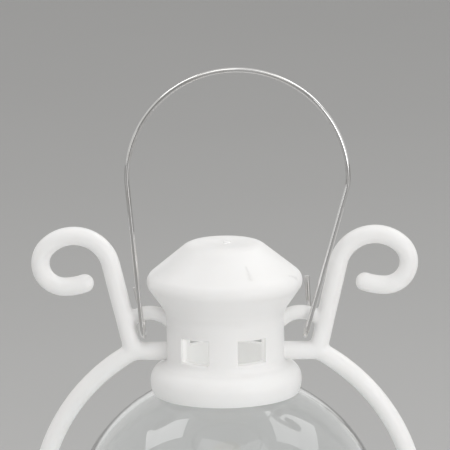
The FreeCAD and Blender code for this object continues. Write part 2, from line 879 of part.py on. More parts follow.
def make_tank():
    body = new_body("tank_body")
    foot_radius = tank_radius + size("foot_overhang")
    foot_round = size("foot_round")
    foot_height = size("foot_height")
    shoulder_round = size("shoulder_round")
    peg_bore = size("peg_radius") + fit_gap
    socket_radius = peg_bore + size("socket_wall")
    sink = size("peg_length") + fit_gap
    rooted = deck_under + seat_gap
    hole_radius = size("burner_spigot_radius") + fit_gap
    bead_middle = globe_z - bead_offset
    bead_edge = neck_radius + side_of(bead_radius, bead_middle - tank_height)
    revolve(body, [
        Corner(tank_bore, ZERO),
        Corner(foot_radius, ZERO, foot_round),
        Corner(foot_radius, foot_height, foot_round),
        Corner(tank_radius, foot_height, foot_round),
        Corner(tank_radius, tank_height, shoulder_round),
        Corner(bead_edge, tank_height),
        Arc(bead_radius, clockwise=False),
        Corner(lip_radius, bead_middle + lip_to_bead),
        Corner(mouth_bore, globe_z - seat_offset),
        Corner(mouth_bore, tank_height),
        Corner(hole_radius, tank_height),
        Corner(hole_radius, deck_under),
        Corner(tank_bore, deck_under),
    ])
    add_post(body, "arm_sockets", ARM_FEET, socket_radius, deck_under - sink, rooted)
    cut_hole(body, "arm_socket_holes", ARM_FEET, peg_bore, tank_height - sink, tank_height)
    add_post(body, "screw_bosses", COVER_SCREWS, size("boss_radius"), cover_top + seat_gap, rooted)
    cut_hole(body, "screw_pilots", COVER_SCREWS, shank_bore, cover_top, cover_top + size("screw_length"))
    return body


def make_burner():
    body = new_body("burner", tank_height)
    height = size("burner_height")
    bore = size("led_radius") + size("led_flange") + run_gap
    cup = size("flame_stem_radius") + fit_gap
    cup_floor = height - size("flame_stem_length") - seat_gap
    rim = size("burner_rim")
    spigot = size("burner_spigot_radius")
    revolve(body, [
        Corner(bore, -tank_wall),
        Corner(spigot, -tank_wall),
        Corner(spigot, seat_gap),
        Corner(size("burner_radius"), seat_gap),
        Corner(size("burner_radius"), rim, rim / 2),
        Corner(size("burner_top_radius"), height - rim, rim / 2),
        Corner(size("burner_top_radius"), height),
        Corner(cup, height),
        Corner(cup, cup_floor),
        Corner(bore, cup_floor),
    ])
    return body


def make_flame():
    body = new_body("flame_tip", tank_height + size("burner_height"))
    stem = size("flame_stem_radius")
    belly = size("flame_radius")
    belly_height = size("flame_belly")
    height = size("flame_height")
    point = size("flame_point")
    bore = size("led_radius") + run_gap
    revolve(body, [
        Corner(bore, -size("flame_stem_length")),
        Corner(stem, -size("flame_stem_length")),
        Corner(stem, ZERO),
        Corner(belly, belly_height, size("flame_round")),
        Corner(point, height - point),
        Arc(point, clockwise=False),
        Corner(ZERO, height),
        Corner(ZERO, ZERO),
        Corner(bore, ZERO),
    ])
    return body


def make_led():
    led_z = tank_height - size("led_sink")
    body = new_body("led", led_z)
    radius = size("led_radius")
    flange = radius + size("led_flange")
    flange_height = size("led_flange_height")
    length = size("led_length")
    revolve(body, [
        Corner(ZERO, ZERO),
        Corner(flange, ZERO),
        Corner(flange, flange_height),
        Corner(radius, flange_height),
        Corner(radius, length - radius),
        Arc(radius, clockwise=False),
        Corner(ZERO, length),
    ])
    legs = [(size("led_leg_pitch") * (side / 2), ZERO) for side in (-1, 1)]
    add_post(body, "led_legs", legs, size("led_leg_radius"), board_top + seat_gap - led_z, seat_gap)
    return body


def make_bottom_cover():
    body = new_body("bottom_cover")
    low = size("cover_recess")
    opening = cap_radius + run_gap
    revolve(body, [
        Corner(opening, low),
        Corner(tank_bore - fit_gap, low),
        Corner(tank_bore - fit_gap, cover_top),
        Corner(well_radius, cover_top),
        Corner(well_radius, well_top),
        Corner(ZERO, well_top),
        Corner(ZERO, well_ceiling),
        Corner(well_bore, well_ceiling),
        Corner(well_bore, cover_top),
        Corner(opening, cover_top),
    ])
    add_post(body, "board_bosses", BOARD_SCREWS, size("board_boss_radius"), low, well_top)
    cut_hole(body, "board_pilots", BOARD_SCREWS, shank_bore, cover_top, well_top)
    head_room = size("screw_head_radius") + run_gap
    cut_hole(body, "screw_ways", COVER_SCREWS, shank_bore, low, cover_top)
    cut_hole(body, "screw_recesses", COVER_SCREWS, head_room, low, low + size("screw_head_height"))
    sketch = new_sketch(body, "cap_notches", "XY_Plane", offset=cover_top, turn=size("cap_turn"))
    reach = cap_lug_radius + run_gap
    draw_box(sketch, ZERO, ZERO, reach * 2, size("cap_lug_width") + run_gap * 2)
    pocket(body, sketch, size("cover_thickness"))
    lever_way = size("switch_travel") + size("lever_length") + run_gap * 2
    lever_room = size("lever_width") + run_gap * 2
    cut_slot(body, "lever_way", ZERO, size("switch_y"), lever_way, lever_room, low, cover_top)
    width = size("contact_width") + fit_gap * 2
    for name, across in (("negative_slot", negative_slot_x), ("positive_slot", positive_slot_x)):
        cut_slot(body, name, across, ZERO, slot_room, width, well_ceiling, well_top)
    return body


def make_battery_cap():
    body = new_body("battery_cap")
    low = size("cover_recess")
    revolve(body, [
        Corner(ZERO, low),
        Corner(cap_radius, low),
        Corner(cap_radius, cap_lug_high),
        Corner(cap_bore, cap_lug_high),
        Corner(cap_bore, cover_top),
        Corner(ZERO, cover_top),
    ])
    sketch = new_sketch(body, "cap_lugs", "XY_Plane", offset=cap_lug_low)
    middle = (cap_bore + cap_lug_radius + seat_gap) / 2
    for side in (-1, 1):
        draw_box(sketch, middle * side, ZERO, cap_lug_radius - cap_bore - seat_gap, size("cap_lug_width"))
    pad(body, sketch, size("cap_lug_height"))
    length = size("coin_slot_length")
    width = size("coin_slot_width")
    cut_slot(body, "coin_slot", ZERO, ZERO, length, width, low, low + size("coin_slot_depth"))
    return body


def make_coin_cell():
    body = new_body("coin_cell", cell_z)
    radius = size("cell_radius")
    height = size("cell_height")
    shoulder = height - size("cell_step_height")
    revolve(body, [
        Corner(ZERO, ZERO),
        Corner(radius, ZERO),
        Corner(radius, shoulder),
        Corner(radius - size("cell_step"), shoulder),
        Corner(radius - size("cell_step"), height),
        Corner(ZERO, height),
    ])
    return body


def make_strip(label, path):
    """A contact strip of sheet metal, as wide to the front as to the back."""
    body = new_body(label)
    sketch = new_sketch(body, label + "_side", "XZ_Plane")
    draw(sketch, path)
    pad(body, sketch, size("contact_width"), centred=True)
    return body


def make_contacts():
    """Both strips hang from the board through the ceiling of the well, one to each pole of the cell."""
    thick = size("contact_thickness")
    half = thick / 2
    board_low = board_z - seat_gap
    touch = cell_top + seat_gap
    arm_z = (touch + well_ceiling) / 2
    negative = make_strip("negative_contact", [
        Corner(negative_slot_x - half, board_low),
        Corner(negative_slot_x - half, arm_z),
        Corner(ZERO, touch),
        Corner(-negative_slot_x, arm_z),
        Corner(-negative_slot_x, arm_z + thick),
        Corner(ZERO, touch + thick),
        Corner(negative_slot_x + half, arm_z + thick),
        Corner(negative_slot_x + half, board_low),
    ])
    rim = size("cell_radius") + seat_gap
    bend_z = cell_top - size("cell_step_height") - thick
    low_z = cap_lug_high + run_gap
    positive = make_strip("positive_contact", [
        Corner(positive_slot_x - half, board_low),
        Corner(positive_slot_x - half, cell_top + half),
        Corner(rim, bend_z),
        Corner(rim, low_z),
        Corner(rim + thick, low_z),
        Corner(rim + thick, bend_z),
        Corner(positive_slot_x + half, cell_top),
        Corner(positive_slot_x + half, board_low),
    ])
    return [negative, positive]


def make_circuit_board():
    body = new_body("circuit_board")
    sketch = new_sketch(body, "board_outline", "XY_Plane", offset=board_z)
    front = size("board_front")
    back = size("board_back")
    draw_box(sketch, ZERO, (back - front) / 2, size("board_width"), back + front, size("board_round"))
    pad(body, sketch, size("board_thickness"))
    cut_hole(body, "board_holes", BOARD_SCREWS, shank_bore, board_z, board_top)
    return body


def make_resistor():
    body = new_body("led_resistor")
    sketch = new_sketch(body, "resistor_outline", "XY_Plane", offset=board_top + seat_gap)
    beside = size("board_width") / 4
    draw_box(sketch, beside, -beside, size("resistor_length"), size("resistor_width"))
    pad(body, sketch, size("resistor_height"))
    return body


def make_switch():
    low = board_z - seat_gap - size("switch_height")
    centre_y = size("switch_y")
    travel = size("switch_travel")
    lever_length = size("lever_length")
    lever_width = size("lever_width")
    root_depth = size("lever_root")
    case = new_body("switch_case")
    sketch = new_sketch(case, "case_outline", "XY_Plane", offset=low)
    draw_box(sketch, ZERO, centre_y, size("switch_length"), size("switch_width"))
    pad(case, sketch, size("switch_height"))
    room = run_gap * 2
    way = travel + lever_length + room
    cut_slot(case, "case_slot", ZERO, centre_y, way, lever_width + room, low, low + root_depth + run_gap)
    lever = new_body("switch_lever")
    tip = size("lever_floor_gap")
    sketch = new_sketch(lever, "lever_outline", "XY_Plane", offset=tip)
    draw_box(sketch, travel / -2, centre_y, lever_length, lever_width)
    pad(lever, sketch, low + root_depth - tip)
    return [case, lever]


def make_screw(name, across, up, seat, length, facing):
    """A round-headed screw with a crossed slot, its head above the seat or, turned over, below it."""
    body = new_body(name)
    head = size("screw_head_radius")
    height = size("screw_head_height")
    long = size("driver_slot_length")
    narrow = size("driver_slot_width")
    depth = size("driver_slot_depth")
    turned = FreeCAD.Rotation(FreeCAD.Vector(1, 0, 0), facing)
    body.Placement = FreeCAD.Placement(FreeCAD.Vector(), turned)
    bind(body, "Placement.Base.x", across)
    bind(body, "Placement.Base.y", up)
    bind(body, "Placement.Base.z", seat)
    revolve(body, [
        Corner(ZERO, -length),
        Corner(screw_radius, -length),
        Corner(screw_radius, ZERO),
        Corner(head, ZERO),
        Corner(head, height, height / 2),
        Corner(ZERO, height),
    ])
    for arm, (wide, deep) in enumerate(((long, narrow), (narrow, long))):
        cut_slot(body, f"{name}_slot_{arm}", ZERO, ZERO, wide, deep, height - depth, height)
    return body


def make_screws(label, spots, seat, length, facing):
    """A set of like screws, kept together as one piece of the list."""
    screws = [
        make_screw(f"{label}_{count}", across, up, seat, length, facing)
        for count, (across, up) in enumerate(spots, start=1)
    ]
    group = doc.addObject("Part::Compound", label)
    group.Label = label
    group.Links = screws
    doc.recompute()
    return group


def make_all():
    head_up = 0
    head_down = 180
    cover_seat = size("cover_recess") + size("screw_head_height") - seat_gap
    board_seat = board_top + seat_gap
    return [
        make_roof_cap(),
        make_chimney(),
        make_globe(),
        *make_arms(),
        make_bail(),
        make_tank(),
        make_burner(),
        make_flame(),
        make_led(),
        make_bottom_cover(),
        make_battery_cap(),
        make_coin_cell(),
        *make_contacts(),
        make_circuit_board(),
        make_resistor(),
        *make_switch(),
        make_screws("cover_screws", COVER_SCREWS, cover_seat, size("screw_length"), head_down),
        make_screws("board_screws", BOARD_SCREWS, board_seat, size("board_screw_length"), head_up),
    ]


def check(pieces):
    for item in doc.Objects:
        if "Invalid" in item.State or "Error" in item.State:
            raise RuntimeError(f"{item.Label} failed: {item.State}")
    for name, value in DERIVED.items():
        if abs(places_sheet.get(name) - value) > 1e-6:
            raise RuntimeError(f"{name} is {places_sheet.get(name)} in the sheet and {value} here")
    for piece in pieces:
        if piece.Shape.isNull() or not piece.Shape.isValid():
            raise RuntimeError(f"{piece.Label} has no valid shape")


def write(pieces):
    os.makedirs("parts", exist_ok=True)
    for piece in pieces:
        piece.Shape.exportStep(f"parts/{piece.Label}.step")
        print(f"{piece.Label}: {len(piece.Shape.Solids)} solids, {piece.Shape.Volume:.1f} mm3")


doc.recompute()
pieces = make_all()
doc.recompute()
check(pieces)
write(pieces)
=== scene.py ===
import json
import math
import bpy
from mathutils import Matrix, Vector

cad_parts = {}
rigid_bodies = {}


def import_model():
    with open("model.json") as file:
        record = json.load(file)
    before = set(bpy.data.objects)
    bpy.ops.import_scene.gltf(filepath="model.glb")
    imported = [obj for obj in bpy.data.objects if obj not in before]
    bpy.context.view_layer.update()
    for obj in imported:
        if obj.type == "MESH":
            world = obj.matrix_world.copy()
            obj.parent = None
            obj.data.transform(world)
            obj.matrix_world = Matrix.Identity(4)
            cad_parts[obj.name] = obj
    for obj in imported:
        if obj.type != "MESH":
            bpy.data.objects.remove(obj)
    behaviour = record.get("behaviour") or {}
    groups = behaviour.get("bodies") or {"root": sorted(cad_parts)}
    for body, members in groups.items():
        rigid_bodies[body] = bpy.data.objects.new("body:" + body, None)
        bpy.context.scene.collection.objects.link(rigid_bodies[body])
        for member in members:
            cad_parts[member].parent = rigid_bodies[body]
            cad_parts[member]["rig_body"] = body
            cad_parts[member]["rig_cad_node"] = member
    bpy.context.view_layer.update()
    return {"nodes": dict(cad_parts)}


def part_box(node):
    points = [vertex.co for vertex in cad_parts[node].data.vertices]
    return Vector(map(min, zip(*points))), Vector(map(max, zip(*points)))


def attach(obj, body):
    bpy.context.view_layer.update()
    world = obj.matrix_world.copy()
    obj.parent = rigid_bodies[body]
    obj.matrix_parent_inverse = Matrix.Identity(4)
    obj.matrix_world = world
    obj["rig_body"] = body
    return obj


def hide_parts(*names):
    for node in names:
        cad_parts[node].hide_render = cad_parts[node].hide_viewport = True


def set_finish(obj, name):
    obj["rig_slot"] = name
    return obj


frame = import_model()
nodes = frame["nodes"]
mm = 0.001                          # sizes are in mm where no note says otherwise
closeBy = 0.01                      # mm, counts as the same place
closeTurn = 0.1                     # degrees, counts as the same direction
mergeReach = 0.004                  # mm, points nearer than this become one


# small helpers for working by hand

def dropSelection():
    if bpy.context.object and bpy.context.object.mode != "OBJECT":
        bpy.ops.object.mode_set(mode="OBJECT")
    bpy.ops.object.select_all(action="DESELECT")


def pick(piece):
    dropSelection()
    piece.select_set(True)
    bpy.context.view_layer.objects.active = piece


def settle(piece):                  # puts the place into the mesh
    pick(piece)
    bpy.ops.object.transform_apply(location=True, rotation=True, scale=True)


def lowEdge(nodeName):              # mm
    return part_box(nodeName)[0].z / mm


def startPicking(piece, kind):
    pick(piece)
    bpy.ops.object.mode_set(mode="EDIT")
    bpy.ops.mesh.select_mode(type=kind)
    bpy.ops.mesh.select_all(action="DESELECT")
    bpy.ops.object.mode_set(mode="OBJECT")


def pickFaces(piece, wanted):
    startPicking(piece, "FACE")
    for face in piece.data.polygons:
        face.select = wanted(face.center / mm)
    bpy.ops.object.mode_set(mode="EDIT")


def pickEdges(piece, wanted):
    startPicking(piece, "EDGE")
    spots = [point.co / mm for point in piece.data.vertices]
    for edge in piece.data.edges:
        edge.select = wanted(*[spots[end] for end in edge.vertices])
    bpy.ops.object.mode_set(mode="EDIT")


def addModifier(piece, kind, **settings):
    pick(piece)
    bpy.ops.object.modifier_add(type=kind)
    modifier = piece.modifiers[-1]
    for setting, value in settings.items():
        setattr(modifier, setting, value)
    bpy.ops.object.modifier_apply(modifier=modifier.name)


def mergeAndTurnOut(piece):
    pick(piece)
    bpy.ops.object.mode_set(mode="EDIT")
    bpy.ops.mesh.select_mode(type="VERT")
    bpy.ops.mesh.select_all(action="SELECT")
    bpy.ops.mesh.remove_doubles(threshold=mergeReach * mm)
    bpy.ops.mesh.normals_make_consistent(inside=False)
    bpy.ops.object.mode_set(mode="OBJECT")


def standFor(piece, nodeName):      # the piece takes the node's body, place and finish
    body = nodes[nodeName]["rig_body"]
    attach(piece, body)
    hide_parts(nodeName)
    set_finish(piece, nodes[nodeName].material_slots[0].name)


# outlines for turned pieces, in mm as radius and height

def roundCorner(before, corner, after, radius, cuts):
    spot = Vector(corner)
    back = (Vector(before) - spot).normalized()
    on = (Vector(after) - spot).normalized()
    half = back.angle(on) / 2
    middle = spot + (back + on).normalized() * (radius / math.sin(half))
    start = spot + back * (radius / math.tan(half)) - middle
    sweep = start.angle_signed(spot + on * (radius / math.tan(half)) - middle)
    return [tuple(middle + Matrix.Rotation(-sweep * step / cuts, 2) @ start) for step in range(cuts + 1)]


def arcRun(middle, radius, fromAngle, toAngle, cuts, tall=1.0):     # degrees, from straight out
    out, up = middle
    turns = [math.radians(fromAngle + (toAngle - fromAngle) * step / cuts) for step in range(cuts + 1)]
    return [(out + radius * math.cos(turn), up + radius * tall * math.sin(turn)) for turn in turns]


def turnedPiece(name, outline, around, up):
    dropSelection()
    radius, height = outline[0]
    bpy.ops.mesh.primitive_circle_add(
        vertices=around, radius=radius * mm, location=(0, 0, (up + height) * mm))
    piece = bpy.context.object
    piece.name = name
    settle(piece)
    bpy.ops.object.mode_set(mode="EDIT")
    bpy.ops.mesh.select_mode(type="VERT")
    bpy.ops.mesh.select_all(action="SELECT")
    for nextRadius, nextHeight in outline[1:]:
        rise = (0, 0, (nextHeight - height) * mm)
        bpy.ops.mesh.extrude_region_move(TRANSFORM_OT_translate={"value": rise})
        if nextRadius == 0:
            bpy.ops.mesh.merge(type="CENTER")
            break
        grow = nextRadius / radius
        bpy.ops.transform.resize(value=(grow, grow, 1), center_override=(0, 0, (up + nextHeight) * mm))
        radius, height = nextRadius, nextHeight
    bpy.ops.object.mode_set(mode="OBJECT")
    return piece


def joinPieces(keeper, *others):
    pick(keeper)
    for other in others:
        other.select_set(True)
    bpy.ops.object.join()
    return keeper


def smoothFaces(piece, angle):      # degrees
    pick(piece)
    bpy.ops.object.shade_smooth_by_angle(angle=math.radians(angle))


dropSelection()

# roof cap: one outline outside, one inside, joined at the bottom edge

roof = {
    "up": lowEdge("roof_cap"),
    "bore": 13.4, "boreTop": 3.7,
    "neck": 14.3, "flareFoot": 0.06, "flareRound": 6.0, "flareCuts": 12,
    "brim": 19.9, "brimRise": 8.0, "brimRound": 2.9, "brimCuts": 14, "brimInset": 3.2,
    "crown": 8.8, "crownRise": 9.0, "crownRound": 4.2, "crownCuts": 12,
    "wall": 2.0,
    "dish": 2.6, "dishDepth": 0.12, "dishSlope": 0.3,       # the gate stands in a shallow dish
    "gate": 0.9, "gateHeight": 0.35, "gateShift": 0.7, "gateFoot": 1.15,
    "gateTop": ((0.9, 0.7), (0.6, 1.0), (0, 0.8)),          # shares of the gate's radius and height
    "around": 144, "angle": 32,
}


def flareRun():                     # the soft round from neck to roof, in two parts that meet in its middle
    below = (roof["neck"], -roof["brimRise"])
    foot, brim = (roof["neck"], roof["flareFoot"]), (roof["brim"], roof["brimRise"])
    run = roundCorner(below, foot, brim, roof["flareRound"], roof["flareCuts"])
    middle = len(run) // 2
    return run[:middle + 1], run[middle:]


def makeRoof():
    top = roof["brimRise"] + roof["crownRise"]
    gate, dish = roof["gate"], roof["dish"]
    dishFloor = top - roof["dishDepth"]
    foot, brim, crown = (roof["neck"], 0), (roof["brim"], roof["brimRise"]), (roof["crown"], top)
    outside = [
        (roof["bore"], 0),
        *flareRun()[1],
        *roundCorner(foot, brim, crown, roof["brimRound"], roof["brimCuts"]),
        *roundCorner(brim, crown, (0, top), roof["crownRound"], roof["crownCuts"]),
        (dish, top),
        (dish - roof["dishSlope"], dishFloor),
        (gate * roof["gateFoot"], dishFloor),
        (gate, top),
        *[(gate * out, top + roof["gateHeight"] * up) for out, up in roof["gateTop"]],
    ]
    inside = [
        (roof["bore"], 0),
        (roof["bore"], roof["boreTop"]),
        (roof["brim"] - roof["brimInset"], roof["brimRise"]),
        (roof["crown"] - roof["wall"] / 2, top - roof["wall"]),
        (0, top - roof["wall"]),
    ]
    piece = turnedPiece("roofShell", outside, roof["around"], roof["up"])
    joinPieces(piece, turnedPiece("roofLining", inside, roof["around"], roof["up"]))
    mergeAndTurnOut(piece)

    def inDish(spot):
        return spot.xy.length < dish and spot.z > roof["up"] + top - roof["wall"] / 2

    pickFaces(piece, inDish)
    bpy.ops.transform.translate(value=(roof["gateShift"] * mm, 0, 0))
    smoothFaces(piece, roof["angle"])
    standFor(piece, "roof_cap")
    return piece


roofShell = makeRoof()
print("roof turned")

# chimney: neck, spigot under the roof, and the bead that grips the globe

chimney = {
    "neck": roof["neck"], "bore": 12.3, "height": 16.7,
    "bead": 4.1, "beadRise": 2.898, "beadLow": 6.0, "beadCuts": 20,
    "lipAngle": -32.8, "lipUnder": (17.48, -3.13), "lipCuts": 12,
    "cove": 1.8, "coveCuts": 8,
    "mouthBore": 14.95, "seat": -1.884, "ledge": 2.065,
    "sleeve": 13.2, "sleeveLow": -2.4,      # goes down inside the globe's mouth
    "spigot": 13.3, "spigotHeight": 3.6,
    "windowRise": 9.1, "windowHeight": 5.75,
    "facings": (-60, -120, 60, 120),        # degrees round from +X
    "stepsOutside": 6, "stepsInside": 7,    # half of a window, in steps round the wall
    "rimRound": 0.42, "rimCuts": 4,
    "pegHole": 1.6, "pegRise": 6.8, "pegSides": 48, "drillLength": 42.9,
    "around": 144, "angle": 32,
}
chimney["up"] = lowEdge("chimney") + chimney["beadRise"]    # heights count from the bead's middle


def chimneyOutline():
    neck, bore, bead, cove = chimney["neck"], chimney["bore"], chimney["bead"], chimney["cove"]
    low = chimney["windowRise"] - chimney["windowHeight"] / 2
    high = low + chimney["windowHeight"]
    top = chimney["height"] + chimney["spigotHeight"]
    # the cove is the inside round between the bead's top and the neck
    coveUp = math.sqrt((bead + cove) ** 2 - cove ** 2)
    coveTurn = math.degrees(math.atan2(coveUp, cove))
    return [
        (chimney["mouthBore"], chimney["seat"]),
        chimney["lipUnder"],
        *arcRun((neck, 0), bead, chimney["lipAngle"], 0, chimney["lipCuts"], chimney["beadLow"] / bead),
        *arcRun((neck, 0), bead, 0, coveTurn, chimney["beadCuts"])[1:],
        *arcRun((neck + cove, coveUp), cove, coveTurn - 180, -180, chimney["coveCuts"])[1:],
        (neck, low),
        (neck, chimney["windowRise"]),
        (neck, high),
        *[(radius, rise + roof["up"] - chimney["up"]) for radius, rise in flareRun()[0]],
        (chimney["spigot"], chimney["height"]),
        (chimney["spigot"], top),
        (bore, top),
        (bore, high),
        (bore, chimney["windowRise"]),
        (bore, low),
        (bore, chimney["sleeveLow"]),
        (chimney["sleeve"], chimney["sleeveLow"]),
        (chimney["sleeve"], chimney["ledge"]),
        (chimney["mouthBore"], chimney["ledge"]),
        (chimney["mouthBore"], chimney["seat"]),
    ]


def roundFrom(spot, facing):        # degrees from the middle of a window to a spot on the wall
    return (math.degrees(math.atan2(spot.y, spot.x)) - facing + 180) % 360 - 180


def cutWindow(piece, facing):
    step = 360 / chimney["around"]
    halfOut, halfIn = step * chimney["stepsOutside"], step * chimney["stepsInside"]
    middleWall = (chimney["neck"] + chimney["bore"]) / 2
    low = chimney["up"] + chimney["windowRise"] - chimney["windowHeight"] / 2
    high = low + chimney["windowHeight"]
    upright = chimney["windowHeight"] / 4       # an edge that rises more than this is a window's side

    def halfAt(spot):
        return halfOut if spot.xy.length > middleWall else halfIn

    def inWindow(spot):
        return low < spot.z < high and abs(roundFrom(spot, facing)) < halfAt(spot)

    def onSide(side):
        return lambda first, second: abs(first.z - second.z) > upright and all(
            low - closeBy < spot.z < high + closeBy
            and abs(roundFrom(spot, facing) - side * halfAt(spot)) < closeTurn
            for spot in (first, second))

    def onLevel(level):
        return lambda first, second: all(
            abs(spot.z - level) < closeBy and abs(roundFrom(spot, facing)) < halfAt(spot) + closeTurn
            for spot in (first, second))

    pickFaces(piece, inWindow)
    bpy.ops.mesh.delete(type="FACE")
    for side in (-1, 1):
        pickEdges(piece, onSide(side))
        bpy.ops.mesh.bridge_edge_loops()
    for level in (low, high):
        pickEdges(piece, onLevel(level))
        bpy.ops.mesh.edge_face_add()
    bpy.ops.object.mode_set(mode="OBJECT")

    def onRim(first, second):
        outside = all(abs(spot.xy.length - chimney["neck"]) < closeBy for spot in (first, second))
        borders = (onSide(-1), onSide(1), onLevel(low), onLevel(high))
        return outside and any(onBorder(first, second) for onBorder in borders)

    pickEdges(piece, onRim)
    bpy.ops.mesh.bevel(offset=chimney["rimRound"] * mm, segments=chimney["rimCuts"], clamp_overlap=True)
    bpy.ops.object.mode_set(mode="OBJECT")


def drillPegHoles(piece):
    dropSelection()
    bpy.ops.mesh.primitive_cylinder_add(
        vertices=chimney["pegSides"], radius=chimney["pegHole"] * mm, depth=chimney["drillLength"] * mm,
        location=(0, 0, (chimney["up"] + chimney["pegRise"]) * mm), rotation=(0, math.pi / 2, 0))
    drill = bpy.context.object
    addModifier(piece, "BOOLEAN", operation="DIFFERENCE", object=drill, solver="EXACT")
    bpy.data.objects.remove(drill)


def makeChimney():
    piece = turnedPiece("chimneyShell", chimneyOutline(), chimney["around"], chimney["up"])
    mergeAndTurnOut(piece)
    for facing in chimney["facings"]:
        cutWindow(piece, facing)
    mergeAndTurnOut(piece)
    drillPegHoles(piece)
    smoothFaces(piece, chimney["angle"])
    standFor(piece, "chimney")
    return piece


chimneyShell = makeChimney()
print("chimney turned, windows cut")

# side arms: the solids' rods with small moulded rounds where they meet

arms = {
    "voxel": 0.24,                          # mm
    "smoothing": 0.5, "evenRounds": 6,      # light smoothing all over
    "meetRounds": 45,                       # more where rods meet
    "meetings": ((22.5, 109.5), (23.4, 117.6)),     # knee, and the eye on the stem, as x and z
    "meetReach": 5.0,
    "neck": 14.35, "sink": 0.35,            # the ends reach a little into the neck
    "endFit": 0.03, "endWidth": 3.0,        # how the ends' faces are known
    "nearNeck": 0.6, "neckFade": 2.0,       # close to the neck nothing more is smoothed
    "angle": 40,
}


def copyNode(nodeName, pieceName):
    pick(nodes[nodeName])
    bpy.ops.object.duplicate()
    piece = bpy.context.object
    bpy.ops.object.parent_clear(type="CLEAR_KEEP_TRANSFORM")
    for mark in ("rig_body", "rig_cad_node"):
        del piece[mark]
    piece.name = pieceName
    bpy.ops.mesh.customdata_custom_splitnormals_clear()
    mergeAndTurnOut(piece)
    return piece


def makeArm(nodeName, pieceName, side):
    piece = copyNode(nodeName, pieceName)

    def onNeck(spot):
        return abs(spot.xy.length - arms["neck"]) < arms["endFit"] and abs(spot.y) < arms["endWidth"]

    pickFaces(piece, onNeck)
    bpy.ops.transform.translate(value=(-side * arms["sink"] * mm, 0, 0))
    bpy.ops.object.mode_set(mode="OBJECT")
    addModifier(piece, "REMESH", mode="VOXEL", voxel_size=arms["voxel"] * mm)
    addModifier(piece, "SMOOTH", factor=arms["smoothing"], iterations=arms["evenRounds"])
    meets = piece.vertex_groups.new(name="meets")
    for point in piece.data.vertices:
        spot = point.co / mm
        gap = min((Vector((side * x, 0, z)) - spot).length for x, z in arms["meetings"])
        outside = spot.xy.length - arms["neck"]
        if gap < arms["meetReach"] and outside > arms["nearNeck"]:
            near = min(1, 2 - 2 * gap / arms["meetReach"])      # in full up to half the reach
            meets.add([point.index], near * min(1, outside / arms["neckFade"]), "REPLACE")
    addModifier(piece, "SMOOTH", factor=arms["smoothing"], iterations=arms["meetRounds"],
                vertex_group="meets")
    piece.vertex_groups.clear()
    smoothFaces(piece, arms["angle"])
    standFor(piece, nodeName)
    return piece


leftArm = makeArm("left_arm", "leftArm", -1)
rightArm = makeArm("right_arm", "rightArm", 1)
print("arms moulded")

# flame: a drop that is drawn out to a point

flame = {
    "stem": 4.0, "stemLength": 2.6, "bore": 2.8, "boreTop": 0.0,
    "belly": 5.0, "bellyRise": 5.0, "height": 19.0, "hollow": 0.72,     # 0 tapers straight to the tip
    "tip": 0.35, "tipRound": ((1.0, 0.4), (0.6, 0.1), (0, 0)),      # out and down, in shares of the tip
    "rows": 26, "around": 72, "angle": 40,
}
flame["up"] = lowEdge("flame_tip") + flame["stemLength"]


def flameRadius(rise):              # smooth swell up to the belly, then a hollow taper to the tip
    if rise < flame["bellyRise"]:
        share = rise / flame["bellyRise"]
        return flame["stem"] + (flame["belly"] - flame["stem"]) * math.sin(share * math.pi / 2)
    share = (rise - flame["bellyRise"]) / (flame["height"] - flame["bellyRise"])
    swell = (1 + math.cos(share * math.pi)) / 2
    left = flame["hollow"] * swell + (1 - flame["hollow"]) * (1 - share)
    return flame["tip"] + (flame["belly"] - flame["tip"]) * left


def makeFlame():
    rises = [flame["height"] * step / flame["rows"] for step in range(flame["rows"])]
    outline = [
        (flame["bore"], flame["boreTop"]),
        (flame["bore"], -flame["stemLength"]),
        (flame["stem"], -flame["stemLength"]),
        *[(flameRadius(rise), rise) for rise in rises],
        *[(flame["tip"] * out, flame["height"] - flame["tip"] * down) for out, down in flame["tipRound"]],
    ]
    piece = turnedPiece("flameShell", outline, flame["around"], flame["up"])
    cupTop = turnedPiece("flameCup", [(flame["bore"], flame["boreTop"]), (0, flame["boreTop"])],
                         flame["around"], flame["up"])
    joinPieces(piece, cupTop)
    mergeAndTurnOut(piece)
    smoothFaces(piece, flame["angle"])
    standFor(piece, "flame_tip")
    return piece


flameShell = makeFlame()
print("flame turned")

# nodes for the finishes

def put(tree, kind, feeds=(), **settings):
    node = tree.nodes.new(kind)
    for setting, value in settings.items():
        setattr(node, setting, value)
    for socket, value in dict(feeds).items():
        if isinstance(value, bpy.types.NodeSocket):
            tree.links.new(value, node.inputs[socket])
        else:
            node.inputs[socket].default_value = value
    return node


def calc(tree, operation, first, second=0.0, third=0.0, clamp=False):
    feeds = {0: first, 1: second, 2: third}
    return put(tree, "ShaderNodeMath", feeds, operation=operation, use_clamp=clamp).outputs[0]


def calcVector(tree, operation, first, second=(0, 0, 0)):
    return put(tree, "ShaderNodeVectorMath", {0: first, 1: second}, operation=operation)


def ramp(tree, value, low, high, toLow=0.0, toHigh=1.0):
    feeds = {"Value": value, "From Min": low, "From Max": high, "To Min": toLow, "To Max": toHigh}
    return put(tree, "ShaderNodeMapRange", feeds, interpolation_type="SMOOTHSTEP").outputs[0]


def mixColor(tree, share, first, second):
    return put(tree, "ShaderNodeMix", {0: share, 6: first, 7: second}, data_type="RGBA").outputs[2]


def noise(tree, vector, scale, detail=2.0, rough=0.5):
    feeds = {"Vector": vector, "Scale": scale, "Detail": detail, "Roughness": rough}
    return put(tree, "ShaderNodeTexNoise", feeds).outputs[0]


